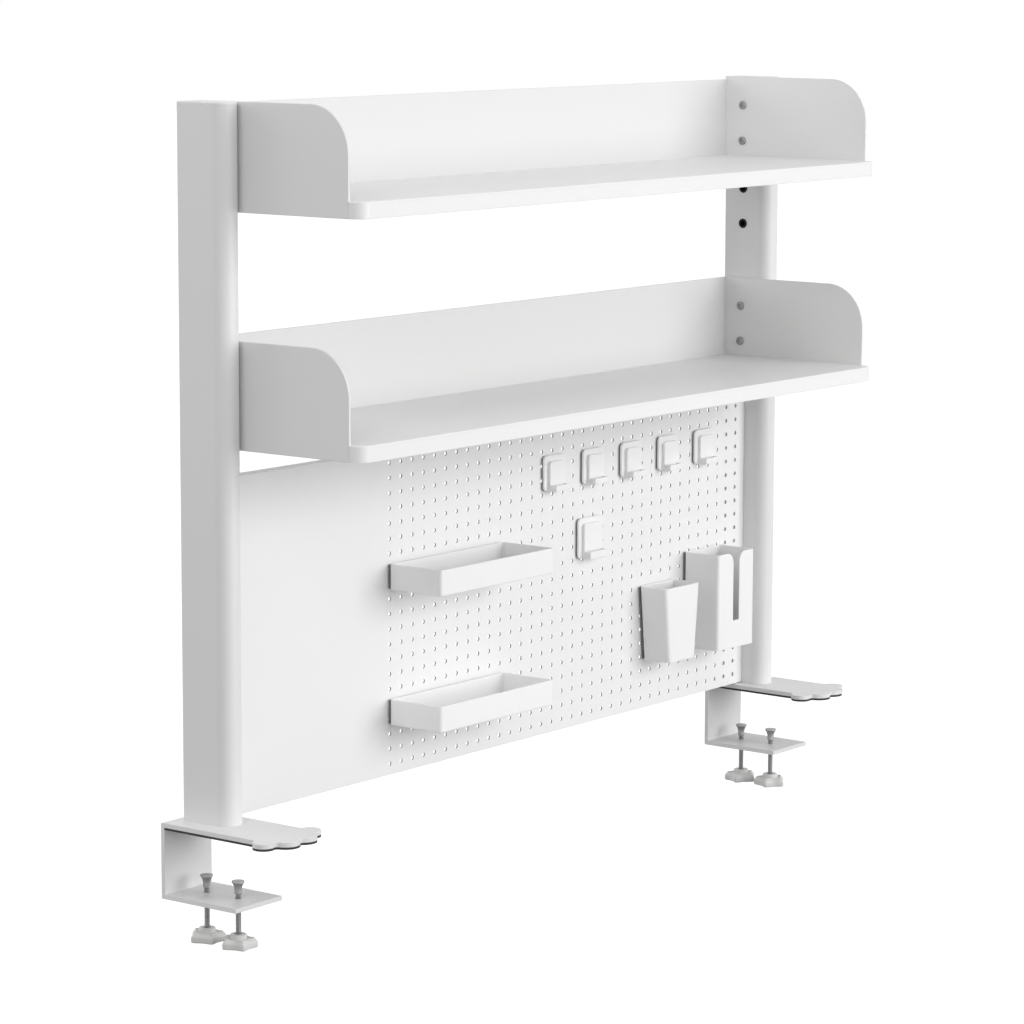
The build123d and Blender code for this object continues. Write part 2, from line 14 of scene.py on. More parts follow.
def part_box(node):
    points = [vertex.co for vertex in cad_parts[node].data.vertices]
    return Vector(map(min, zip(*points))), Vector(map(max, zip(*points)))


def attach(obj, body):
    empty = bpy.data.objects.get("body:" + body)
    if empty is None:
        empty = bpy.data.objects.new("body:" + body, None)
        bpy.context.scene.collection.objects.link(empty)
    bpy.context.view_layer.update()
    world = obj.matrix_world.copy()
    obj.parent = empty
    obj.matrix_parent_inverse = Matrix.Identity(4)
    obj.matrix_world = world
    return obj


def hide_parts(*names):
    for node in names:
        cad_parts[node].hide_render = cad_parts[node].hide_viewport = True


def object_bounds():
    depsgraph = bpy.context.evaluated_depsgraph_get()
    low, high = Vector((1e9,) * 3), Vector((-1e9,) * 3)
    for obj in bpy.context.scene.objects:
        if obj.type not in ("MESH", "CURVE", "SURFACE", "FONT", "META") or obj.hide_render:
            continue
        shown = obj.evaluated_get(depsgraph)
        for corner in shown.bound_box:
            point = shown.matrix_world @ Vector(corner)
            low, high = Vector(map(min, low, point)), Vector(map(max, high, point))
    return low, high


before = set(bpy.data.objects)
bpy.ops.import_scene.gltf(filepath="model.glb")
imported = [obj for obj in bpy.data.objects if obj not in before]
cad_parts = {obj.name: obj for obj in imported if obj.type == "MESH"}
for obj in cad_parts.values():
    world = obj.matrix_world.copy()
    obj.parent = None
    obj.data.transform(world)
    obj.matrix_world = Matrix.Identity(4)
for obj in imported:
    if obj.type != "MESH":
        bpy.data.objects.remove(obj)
CAD_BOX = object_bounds()
LOG = logging.getLogger("hutch")

Colour = tuple[float, float, float, float]

WHITE: Colour = (1.0, 1.0, 1.0, 1.0)
# A face looks along an axis where its normal has more than this share of it.
FACING = 0.9
# A face is flat across an axis where its normal has more than this share of it.
FLAT = 0.99


class Pick(Enum):
    """What a selection in edit mode is made of."""

    CORNERS = "VERT"
    FACES = "FACE"


class Side(Enum):
    """The two posts, each with its own clamp."""

    LEFT = "left"
    RIGHT = "right"


class Place(Enum):
    """The two screws of a clamp."""

    REAR = "rear"
    FRONT = "front"


class Bench:
    """Modelling steps on one mesh at a time."""

    @staticmethod
    def clear() -> None:
        """Leave edit mode and deselect every object."""
        if bpy.context.object is not None and bpy.context.object.mode != "OBJECT":
            bpy.ops.object.mode_set(mode="OBJECT")
        bpy.ops.object.select_all(action="DESELECT")

    @staticmethod
    def edit() -> None:
        """Open the active object in edit mode, ready to pick corners, with nothing selected."""
        bpy.ops.object.mode_set(mode="EDIT")
        bpy.ops.mesh.select_mode(type=Pick.CORNERS.value)
        bpy.ops.mesh.select_all(action="DESELECT")

    @staticmethod
    def pick(kind: Pick, test: Callable[[Vector, Vector], bool]) -> None:
        """Select the elements of the edited mesh that pass a test.

        Args:
            kind: Corners or faces.
            test: Takes an element's middle and its normal, and says whether it is wanted.
        """
        bpy.ops.mesh.select_mode(type=kind.value)
        bpy.ops.mesh.select_all(action="DESELECT")
        mesh = bmesh.from_edit_mesh(bpy.context.edit_object.data)
        mesh.normal_update()
        if kind is Pick.CORNERS:
            found = [v for v in mesh.verts if test(v.co, v.normal)]
        else:
            found = [f for f in mesh.faces if test(f.calc_center_median(), f.normal)]
        for element in found:
            element.select_set(True)
        mesh.select_flush_mode()
        bmesh.update_edit_mesh(bpy.context.edit_object.data)

    @staticmethod
    def move(x: float = 0, y: float = 0, z: float = 0) -> None:
        """Shift what is selected in edit mode."""
        bpy.ops.transform.translate(value=(x, y, z))

    @staticmethod
    def scale(x: float, y: float, z: float) -> None:
        """Scale what is selected in edit mode about its own middle."""
        bpy.ops.transform.resize(value=(x, y, z))

    @staticmethod
    def raise_region(height: float) -> None:
        """Extrude the selected faces straight up."""
        bpy.ops.mesh.extrude_region_move(TRANSFORM_OT_translate={"value": (0, 0, height)})

    @staticmethod
    def apply(piece: bpy.types.Object, kind: str, **settings: object) -> None:
        """Add one modifier to a piece and apply it.

        Args:
            piece: The piece to change.
            kind: The modifier's type.
            **settings: Values of the modifier.
        """
        modifier = piece.modifiers.new(kind.title(), kind)
        for name, value in settings.items():
            setattr(modifier, name, value)
        bpy.context.view_layer.objects.active = piece
        bpy.ops.object.modifier_apply(modifier=modifier.name)

    @staticmethod
    def join(pieces: list[bpy.types.Object]) -> bpy.types.Object:
        """Join meshes into the first of them."""
        Bench.clear()
        for piece in pieces:
            piece.select_set(True)
        bpy.context.view_layer.objects.active = pieces[0]
        bpy.ops.object.join()
        return bpy.context.object

    @staticmethod
    def copy(piece: bpy.types.Object, name: str, change: Matrix) -> bpy.types.Object:
        """Copy a finished piece with a mesh of its own.

        Args:
            piece: The finished piece.
            name: The name that the copy gets.
            change: Where the copy's mesh goes, from where the piece's mesh is.

        Returns:
            The copy, with its object at the origin.
        """
        twin = piece.copy()
        twin.data = piece.data.copy()
        twin.name = twin.data.name = name
        twin.data.transform(change)
        bpy.context.scene.collection.objects.link(twin)
        return twin

    @staticmethod
    def settle(piece: bpy.types.Object, name: str, smooth_angle: float) -> bpy.types.Object:
        """Name a finished piece, put its place into its mesh and smooth its shading.

        Args:
            piece: The finished piece.
            name: The name that it gets.
            smooth_angle: Edges sharper than this angle, in degrees, stay sharp.

        Returns:
            The same piece, with its object at the origin.
        """
        Bench.clear()
        piece.select_set(True)
        bpy.context.view_layer.objects.active = piece
        bpy.ops.object.transform_apply(location=True, rotation=True, scale=True)
        bpy.ops.object.shade_smooth_by_angle(angle=math.radians(smooth_angle))
        piece.name = name
        piece.data.name = name
        piece.select_set(False)
        return piece


class Sheet:
    """A node tree under construction.

    Attributes:
        MIX_COLOURS: Places of the two colours among the inputs of a Mix node.
        MIX_RESULT: Place of the colour among its outputs.
    """

    MIX_COLOURS = (6, 7)
    MIX_RESULT = 2

    def __init__(self, tree: bpy.types.NodeTree) -> None:
        """Start on an empty tree."""
        self.tree = tree
        self.tree.nodes.clear()

    def add(self, kind: str, **settings: object) -> bpy.types.Node:
        """Add a node and set its properties.

        Args:
            kind: The node's type.
            **settings: Properties of the node.

        Returns:
            The new node.
        """
        node = self.tree.nodes.new(kind)
        for name, value in settings.items():
            setattr(node, name, value)
        return node

    def link(self, start: bpy.types.NodeSocket, end: bpy.types.NodeSocket) -> None:
        """Connect an output to an input."""
        self.tree.links.new(start, end)

    def math(self, operation: str, first: object, second: object,
             clamp: bool = False) -> bpy.types.NodeSocket:
        """Add a sum, product or other step on two values.

        Args:
            operation: The step's name.
            first: A socket or a number.
            second: A socket or a number.
            clamp: Whether the result stays between 0 and 1.

        Returns:
            The result's socket.
        """
        node = self.add("ShaderNodeMath", operation=operation, use_clamp=clamp)
        for socket, value in zip(node.inputs, (first, second)):
            if isinstance(value, bpy.types.NodeSocket):
                self.link(value, socket)
            else:
                socket.default_value = value
        return node.outputs[0]

    def spread(self, value: bpy.types.NodeSocket, low: float, high: float) -> bpy.types.NodeSocket:
        """Map a value from 0 to 1 on to another range.

        Args:
            value: The socket to map.
            low: Result where the value is 0.
            high: Result where the value is 1.

        Returns:
            The result's socket.
        """
        node = self.add("ShaderNodeMapRange")
        self.link(value, node.inputs["Value"])
        node.inputs["To Min"].default_value = low
        node.inputs["To Max"].default_value = high
        return node.outputs["Result"]

    def blend(self, mask: bpy.types.NodeSocket, first: object, second: object) -> bpy.types.NodeSocket:
        """Mix two colours by a mask.

        Args:
            mask: Share of the second colour.
            first: A socket or a colour.
            second: A socket or a colour.

        Returns:
            The mixed colour's socket.
        """
        node = self.add("ShaderNodeMix", data_type="RGBA")
        self.link(mask, node.inputs[0])
        for place, value in zip(self.MIX_COLOURS, (first, second)):
            socket = node.inputs[place]
            if isinstance(value, bpy.types.NodeSocket):
                self.link(value, socket)
            else:
                socket.default_value = value
        return node.outputs[self.MIX_RESULT]


@dataclass(frozen=True)
class GroupPort:
    """A named input of a shared effect, with its usual value."""

    name: str
    usual: float


class Effects:
    """Effects that several finishes share, each built once as a node group.

    Attributes:
        GRAIN_DETAIL: Detail of each layer of the grain.
        FACING_POWER: How fast dust thins out on a slope.
        PATCH_DETAIL: Detail of the patches of dust.
        EDGE_SAMPLES: Samples of each rounded edge.
        EDGE_GAIN: How fast the mask of the edges fills.
    """

    GRAIN_DETAIL = (("Coarse", 2.0), ("Fine", 1.0), ("Drift", 3.0))
    FACING_POWER = 4.0
    PATCH_DETAIL = 5.0
    EDGE_SAMPLES = 4
    EDGE_GAIN = 4.0

    @staticmethod
    def start(name: str, ports: Iterable[GroupPort],
              results: dict[str, str]) -> tuple[Sheet, bpy.types.Node, bpy.types.Node]:
        """Make an empty group with its sockets.

        Args:
            name: The group's name.
            ports: Its inputs.
            results: Its outputs, name to socket type.

        Returns:
            The group's sheet, its input node and its output node.
        """
        tree = bpy.data.node_groups.new(name, "ShaderNodeTree")
        for port in ports:
            socket = tree.interface.new_socket(port.name, in_out="INPUT", socket_type="NodeSocketFloat")
            socket.default_value = port.usual
        for result, kind in results.items():
            tree.interface.new_socket(result, in_out="OUTPUT", socket_type=kind)
        sheet = Sheet(tree)
        return sheet, sheet.add("NodeGroupInput"), sheet.add("NodeGroupOutput")

    @staticmethod
    def found(name: str) -> bpy.types.NodeTree | None:
        """A group that is already built, or nothing."""
        return bpy.data.node_groups.get(name)

    @staticmethod
    def grain() -> bpy.types.NodeTree:
        """Two sizes of soft grain: a height for bumps and a slow drift of tone.

        Returns:
            The group, with sizes as repeats per metre.
        """
        name = "soft_grain"
        if Effects.found(name):
            return Effects.found(name)
        ports = (GroupPort("Coarse", 700.0), GroupPort("Fine", 2600.0), GroupPort("Fine Share", 0.35),
                 GroupPort("Drift", 2.5))
        results = {"Height": "NodeSocketFloat", "Tone": "NodeSocketFloat"}
        sheet, source, result = Effects.start(name, ports, results)
        place = sheet.add("ShaderNodeTexCoord").outputs["Object"]
        layers = []
        for port, detail in Effects.GRAIN_DETAIL:
            noise = sheet.add("ShaderNodeTexNoise")
            sheet.link(place, noise.inputs["Vector"])
            sheet.link(source.outputs[port], noise.inputs["Scale"])
            noise.inputs["Detail"].default_value = detail
            layers.append(noise.outputs["Fac"])
        coarse, fine, drift = layers
        fine = sheet.math("MULTIPLY", fine, source.outputs["Fine Share"])
        sheet.link(sheet.math("ADD", coarse, fine), result.inputs["Height"])
        sheet.link(drift, result.inputs["Tone"])
        return sheet.tree

    @staticmethod
    def dust() -> bpy.types.NodeTree:
        """A mask of the faint dust that settles on faces that look up.

        Returns:
            The group.
        """
        name = "settled_dust"
        if Effects.found(name):
            return Effects.found(name)
        ports = (GroupPort("Patch Size", 30.0), GroupPort("Amount", 1.0))
        sheet, source, result = Effects.start(name, ports, {"Mask": "NodeSocketFloat"})
        normal = sheet.add("ShaderNodeNewGeometry").outputs["Normal"]
        parts = sheet.add("ShaderNodeSeparateXYZ")
        sheet.link(normal, parts.inputs[0])
        upward = sheet.math("MAXIMUM", parts.outputs["Z"], 0.0)
        facing = sheet.math("POWER", upward, Effects.FACING_POWER)
        noise = sheet.add("ShaderNodeTexNoise")
        sheet.link(sheet.add("ShaderNodeTexCoord").outputs["Object"], noise.inputs["Vector"])
        sheet.link(source.outputs["Patch Size"], noise.inputs["Scale"])
        noise.inputs["Detail"].default_value = Effects.PATCH_DETAIL
        patches = sheet.math("MULTIPLY", facing, noise.outputs["Fac"])
        mask = sheet.math("MULTIPLY", patches, source.outputs["Amount"], clamp=True)
        sheet.link(mask, result.inputs["Mask"])
        return sheet.tree

    @staticmethod
    def rounded_edges() -> bpy.types.NodeTree:
        """Softly rounded edges: a bent normal, and a mask of the edges themselves that carries a painted
        highlight.

        Returns:
            The group, with the radius in metres.
        """
        name = "rounded_edges"
        if Effects.found(name):
            return Effects.found(name)
        results = {"Normal": "NodeSocketVector", "Mask": "NodeSocketFloat"}
        sheet, source, result = Effects.start(name, (GroupPort("Radius", 0.0008),), results)
        bevel = sheet.add("ShaderNodeBevel", samples=Effects.EDGE_SAMPLES)
        sheet.link(source.outputs["Radius"], bevel.inputs["Radius"])
        compare = sheet.add("ShaderNodeVectorMath", operation="DOT_PRODUCT")
        sheet.link(bevel.outputs["Normal"], compare.inputs[0])
        sheet.link(sheet.add("ShaderNodeNewGeometry").outputs["Normal"], compare.inputs[1])
        bent = sheet.math("SUBTRACT", 1.0, compare.outputs["Value"])
        sheet.link(bevel.outputs["Normal"], result.inputs["Normal"])
        sheet.link(sheet.math("MULTIPLY", bent, Effects.EDGE_GAIN, clamp=True), result.inputs["Mask"])
        return sheet.tree


@dataclass(frozen=True)
class Finish:
    """A solid surface with grain, faint dust, softly rounded edges and a painted highlight along them.

    Attributes:
        name: Name of the material.
        colour: Its colour where it is clean.
        roughness: Roughness in the middle of its range.
        roughness_swing: How far the roughness drifts either way.
        coarse: Repeats of the larger grain per metre.
        fine: Repeats of the smaller grain per metre.
        relief: Height of the grain in metres.
        tone_swing: How far the colour drifts either way, as a share.
        dust_amount: How much dust shows on faces that look up.
        dust_shade: Tone of the dust, as a share of the clean colour.
        edge_radius: Radius of the rounded edges in metres.
        edge_highlight_colour: Colour of the painted highlight that the edges lean to.
        edge_highlight_share: How far the edges lean to that painted highlight.
        metallic: 1 for bare metal.
        specular: Level of the plain reflection.
        subsurface: Share of the light that passes into the material.
        subsurface_depth: How far that light goes, in metres.
    """

    name: str
    colour: Colour
    roughness: float = 0.45
    roughness_swing: float = 0.05
    coarse: float = 700.0
    fine: float = 2600.0
    relief: float = 0.00003
    tone_swing: float = 0.015
    dust_amount: float = 0.25
    dust_shade: float = 0.9
    edge_radius: float = 0.0008
    edge_highlight_colour: Colour = (0.9, 0.9, 0.9, 1.0)
    edge_highlight_share: float = 0.5
    metallic: float = 0.0
    specular: float = 0.5
    subsurface: float = 0.0
    subsurface_depth: float = 0.002

    def material(self) -> bpy.types.Material:
        """The material, built the first time that it is asked for."""
        made = bpy.data.materials.get(self.name)
        if made is None:
            made = bpy.data.materials.new(self.name)
            made.use_nodes = True
            self.paint(Sheet(made.node_tree))
        return made

    def paint(self, sheet: Sheet) -> None:
        """Build the nodes of the material.

        Args:
            sheet: The material's empty node tree.
        """
        shader = sheet.add("ShaderNodeBsdfPrincipled")
        sheet.link(shader.outputs["BSDF"], sheet.add("ShaderNodeOutputMaterial").inputs["Surface"])
        shader.inputs["Metallic"].default_value = self.metallic
        shader.inputs["Specular IOR Level"].default_value = self.specular
        shader.inputs["Subsurface Weight"].default_value = self.subsurface
        shader.inputs["Subsurface Radius"].default_value = (1.0, 1.0, 1.0)
        shader.inputs["Subsurface Scale"].default_value = self.subsurface_depth
        grain = sheet.add("ShaderNodeGroup", node_tree=Effects.grain())
        grain.inputs["Coarse"].default_value = self.coarse
        grain.inputs["Fine"].default_value = self.fine
        dust = sheet.add("ShaderNodeGroup", node_tree=Effects.dust())
        dust.inputs["Amount"].default_value = self.dust_amount
        edges = sheet.add("ShaderNodeGroup", node_tree=Effects.rounded_edges())
        edges.inputs["Radius"].default_value = self.edge_radius
        self.finish_surface(sheet, shader, grain, dust, edges)

    def finish_surface(self, sheet: Sheet, shader: bpy.types.Node, grain: bpy.types.Node,
                       dust: bpy.types.Node, edges: bpy.types.Node) -> None:
        """Join the effects to the shader.

        Args:
            sheet: The material's node tree.
            shader: The material's shader.
            grain: The grain group.
            dust: The dust group.
            edges: The rounded edges group.
        """
        dark, light = (self.shaded(1.0 + sign * self.tone_swing) for sign in (-1, 1))
        body = sheet.blend(grain.outputs["Tone"], dark, light)
        # The edges lean to a lighter colour: a painted highlight along them.
        edge_highlight_mask = sheet.math("MULTIPLY", edges.outputs["Mask"], self.edge_highlight_share)
        highlighted = sheet.blend(edge_highlight_mask, body, self.edge_highlight_colour)
        dusty = sheet.blend(dust.outputs["Mask"], highlighted, self.shaded(self.dust_shade))
        sheet.link(dusty, shader.inputs["Base Color"])
        gloss = sheet.spread(grain.outputs["Tone"], self.roughness - self.roughness_swing,
                             self.roughness + self.roughness_swing)
        sheet.link(gloss, shader.inputs["Roughness"])
        bump = sheet.add("ShaderNodeBump")
        bump.inputs["Distance"].default_value = self.relief
        sheet.link(grain.outputs["Height"], bump.inputs["Height"])
        sheet.link(edges.outputs["Normal"], bump.inputs["Normal"])
        sheet.link(bump.outputs["Normal"], shader.inputs["Normal"])

    def shaded(self, share: float) -> Colour:
        """The finish's colour, made lighter or darker by a share."""
        red, green, blue, alpha = self.colour
        return red * share, green * share, blue * share, alpha

    def dress(self, piece: bpy.types.Object) -> None:
        """Give a piece this finish all over."""
        piece.data.materials.clear()
        piece.data.materials.append(self.material())


@dataclass(frozen=True)
class TurnedSteel(Finish):
    """Zinc-plated steel with fine turning marks round its axis.

    Attributes:
        marks: Scale of the marks.
        mark_wobble: How uneven the marks are.
        mark_share: Share of the marks in the roughness.
        polish: How far below the middle the roughness starts.
        wear: How far above the middle it ends.
    """

    marks: float = 2200.0
    mark_wobble: float = 3.0
    mark_share: float = 0.5
    polish: float = 0.12
    wear: float = 0.1

    def finish_surface(self, sheet: Sheet, shader: bpy.types.Node, grain: bpy.types.Node,
                       dust: bpy.types.Node, edges: bpy.types.Node) -> None:
        """Join the effects to the shader, with rings across the turned surface.

        Args:
            sheet: The material's node tree.
            shader: The material's shader.
            grain: The grain group.
            dust: The dust group.
            edges: The rounded edges group.
        """
        super().finish_surface(sheet, shader, grain, dust, edges)
        rings = sheet.add("ShaderNodeTexWave", bands_direction="Z")
        sheet.link(sheet.add("ShaderNodeTexCoord").outputs["Object"], rings.inputs["Vector"])
        rings.inputs["Scale"].default_value = self.marks
        rings.inputs["Distortion"].default_value = self.mark_wobble
        weak_rings = sheet.math("MULTIPLY", rings.outputs["Fac"], self.mark_share)
        mixed = sheet.math("ADD", grain.outputs["Tone"], weak_rings)
        gloss = sheet.spread(mixed, self.roughness - self.polish, self.roughness + self.wear)
        sheet.link(gloss, shader.inputs["Roughness"])


@dataclass(frozen=True)
class PerforatedCoat(Finish):
    """A coated sheet whose punched holes have painted shade on their walls.

    Attributes:
        hole_shade_colour: Colour of the painted shade on the walls of the holes.
        wall_limit: A face is a wall where its normal has less than this share of Y.
        border: Width of the border that has no holes, in metres.
        low: Lowest corner of the sheet.
        high: Highest corner of the sheet.
    """

    hole_shade_colour: Colour = (0.22, 0.22, 0.22, 1.0)
    wall_limit: float = 0.5
    border: float = 0.006
    low: tuple[float, float, float] = (0.0, 0.0, 0.0)
    high: tuple[float, float, float] = (0.0, 0.0, 0.0)

    def finish_surface(self, sheet: Sheet, shader: bpy.types.Node, grain: bpy.types.Node,
                       dust: bpy.types.Node, edges: bpy.types.Node) -> None:
        """Join the effects to the shader, with painted shade on the walls of the holes.

        Args:
            sheet: The material's node tree.
            shader: The material's shader.
            grain: The grain group.
            dust: The dust group.
            edges: The rounded edges group.
        """
        super().finish_surface(sheet, shader, grain, dust, edges)
        coat = shader.inputs["Base Color"].links[0].from_socket
        coordinates = sheet.add("ShaderNodeTexCoord")
        facing = sheet.add("ShaderNodeSeparateXYZ")
        sheet.link(coordinates.outputs["Normal"], facing.inputs["Vector"])
        place = sheet.add("ShaderNodeSeparateXYZ")
        sheet.link(coordinates.outputs["Object"], place.inputs["Vector"])
        across = sheet.math("ABSOLUTE", facing.outputs["Y"], 0.0)
        mask = sheet.math("LESS_THAN", across, self.wall_limit)
        for axis, name in ((0, "X"), (2, "Z")):
            above = sheet.math("GREATER_THAN", place.outputs[name], self.low[axis] + self.border)
            below = sheet.math("LESS_THAN", place.outputs[name], self.high[axis] - self.border)
            mask = sheet.math("MULTIPLY", mask, sheet.math("MULTIPLY", above, below))
        # Painted shade: the walls of the holes take a dark colour.
        sheet.link(sheet.blend(mask, coat, self.hole_shade_colour), shader.inputs["Base Color"])


POWDER_COAT = Finish("white_powder_coat", (0.85, 0.85, 0.848, 1.0), roughness=0.42, relief=0.00004,
                     edge_highlight_colour=(0.92, 0.92, 0.92, 1.0))
# A darker copy of the white powder coat: painted shade on the posts, end plates and clamps.
FRAME_SHADED_COAT = Finish("frame_coat_painted_shade", (0.78, 0.78, 0.778, 1.0), roughness=0.42, relief=0.00004,
                    edge_highlight_colour=(0.86, 0.86, 0.86, 1.0))
# A darker copy of the white powder coat: painted shade on the back panels inside the shelves.
BACK_PANEL_SHADED_COAT = Finish("back_panel_coat_painted_shade", (0.74, 0.74, 0.738, 1.0), roughness=0.5, relief=0.00004,
                   edge_highlight_colour=(0.8, 0.8, 0.8, 1.0))
# A lighter copy of the white powder coat: painted light on the pegboard, where the lower shelf shades it.
BOARD_LIT_COAT = PerforatedCoat("pegboard_coat_painted_light", (0.9, 0.9, 0.898, 1.0), roughness=0.5,
                            relief=0.00003, edge_radius=0.0005, edge_highlight_colour=(0.9, 0.9, 0.9, 1.0),
                            low=tuple(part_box("pegboard")[0]), high=tuple(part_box("pegboard")[1]))
MOULDED_WHITE = Finish("white_moulded_plastic", (0.94, 0.94, 0.937, 1.0), roughness=0.38, coarse=1800.0,
                       fine=5200.0, relief=0.000012, tone_swing=0.008, edge_highlight_colour=(0.95, 0.95, 0.95, 1.0),
                       subsurface=0.3, subsurface_depth=0.004)
CAP_WHITE = Finish("white_cap_plastic", (0.84, 0.84, 0.838, 1.0), roughness=0.5, coarse=1500.0, fine=4200.0,
                   relief=0.00002, edge_highlight_colour=(0.9, 0.9, 0.9, 1.0))
KNOB_PLASTIC = Finish("knob_plastic", (0.78, 0.78, 0.775, 1.0), roughness=0.4, coarse=1500.0, fine=4500.0,
                      relief=0.00002, tone_swing=0.03, edge_highlight_colour=(0.8, 0.8, 0.8, 1.0))
# Near-black peg plates behind the accessories: painted shade in the gap between each accessory and the board.
PEG_PLATE_SHADE = Finish("peg_plate_painted_shade", (0.2, 0.2, 0.203, 1.0), roughness=0.55, coarse=1500.0, fine=4500.0,
                     relief=0.00002, tone_swing=0.06, edge_highlight_colour=(0.2, 0.2, 0.2, 1.0))
# Near-black bushings: partly the plastic's own colour, partly painted shade of the spare holes.
BUSHING_PLASTIC_AND_SHADE = Finish("black_bushing_painted_shade", (0.006, 0.006, 0.006, 1.0), roughness=0.6, coarse=1500.0,
                         fine=4500.0, relief=0.00002, tone_swing=0.1, dust_amount=0.0,
                         edge_highlight_colour=(0.03, 0.03, 0.03, 1.0), edge_radius=0.0002, specular=0.2)
# Black rubber made darker than rubber is: partly the pad's own colour, partly painted shade under the clamp
# plate.
PAD_RUBBER_AND_SHADE = Finish("pad_rubber", (0.004, 0.004, 0.004, 1.0), roughness=0.8, coarse=900.0, fine=3000.0,
                    relief=0.0001, tone_swing=0.2, dust_amount=0.0,
                    edge_highlight_colour=(0.006, 0.006, 0.006, 1.0), specular=0.03)
ZINC = TurnedSteel("zinc_plated_steel", (0.36, 0.36, 0.365, 1.0), roughness=0.38, coarse=900.0, fine=3500.0,
                   relief=0.00002, tone_swing=0.08, dust_amount=0.1, edge_radius=0.0003,
                   edge_highlight_colour=(0.46, 0.46, 0.47, 1.0), metallic=1.0)


@dataclass
class ThreadedScrew:
    """A clamp screw with a real helical thread, in place of a plain rod.

    Attributes:
        node: The plain rod that it is modelled on.
        tip_length: Length of the plain tip inside the foot.
        tip_radius: Radius of that tip.
        tip_round_share: Size of the tip's rounded edge, as a share of that radius.
        tip_steps: Faces across that rounded edge.
        pitch: Height of one turn.
        depth: Depth of the thread.
        flat_share: Share of the pitch that is flat on the crest and in the root.
        steps: Faces round one turn.
        smooth_angle: Edges sharper than this angle, in degrees, stay sharp.
    """

    node: str
    tip_length: float = 0.008
    tip_radius: float = 0.0022
    tip_round_share: float = 0.25
    tip_steps: int = 2
    pitch: float = 0.0015
    depth: float = 0.0008
    flat_share: float = 0.18
    steps: int = 24
    smooth_angle: float = 40.0

    def build(self) -> bpy.types.Object:
        """Model the screw in the rod's place.

        Returns:
            The finished piece.
        """
        low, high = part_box(self.node)
        self.axis = (low + high) / 2
        self.radius = (high.x - low.x) / 2
        self.bottom, self.top = low.z, high.z - self.tip_length
        thread = self.wind_thread()
        self.cut_ends()
        tip = self.make_tip()
        piece = Bench.settle(Bench.join([thread, tip]), self.node + "_thread", self.smooth_angle)
        ZINC.dress(piece)
        return piece

    def wind_thread(self) -> bpy.types.Object:
        """Draw one pitch of the thread's profile and wind it up the screw."""
        Bench.clear()
        start = self.bottom - self.pitch
        bpy.ops.mesh.primitive_plane_add(size=self.pitch, location=(self.axis.x, self.axis.y, start))
        rod = bpy.context.object
        Bench.edit()
        bpy.ops.mesh.select_all(action="SELECT")
        bpy.ops.mesh.merge(type="CENTER")
        Bench.move(x=self.radius - self.depth)
        flank_share = (1 - 2 * self.flat_share) / 2
        for out, rise_share in ((self.depth, flank_share), (0, self.flat_share), (-self.depth, flank_share),
                                (0, self.flat_share)):
            bpy.ops.mesh.extrude_region_move(
                TRANSFORM_OT_translate={"value": (out, 0, rise_share * self.pitch)})
        bpy.ops.object.mode_set(mode="OBJECT")
        turns = math.ceil((self.top - self.bottom) / self.pitch) + 2
        Bench.apply(rod, "SCREW", axis="Z", angle=2 * math.pi, screw_offset=self.pitch, iterations=turns,
                    steps=self.steps, render_steps=self.steps, use_merge_vertices=True,
                    use_normal_calculate=True)
        return rod

    def cut_ends(self) -> None:
        """Cut the wound thread square at both ends and close it."""
        Bench.edit()
        for height, normal in ((self.top, 1), (self.bottom, -1)):
            bpy.ops.mesh.select_all(action="SELECT")
            bpy.ops.mesh.bisect(plane_co=(self.axis.x, self.axis.y, height), plane_no=(0, 0, normal),
                                use_fill=True, clear_outer=True)
        bpy.ops.mesh.select_all(action="SELECT")
        bpy.ops.mesh.normals_make_consistent(inside=False)
        bpy.ops.object.mode_set(mode="OBJECT")

    def make_tip(self) -> bpy.types.Object:
        """Make the plain tip that turns in the foot."""
        Bench.clear()
        middle = self.top + self.tip_length / 2
        bpy.ops.mesh.primitive_cylinder_add(vertices=self.steps, radius=self.tip_radius,
                                            depth=self.tip_length,
                                            location=(self.axis.x, self.axis.y, middle))
        tip = bpy.context.object
        Bench.edit()
        Bench.pick(Pick.FACES, lambda middle, normal: normal.z > FACING)
        bpy.ops.mesh.bevel(offset=self.tip_radius * self.tip_round_share, segments=self.tip_steps,
                           affect="EDGES")
        bpy.ops.object.mode_set(mode="OBJECT")
        return tip


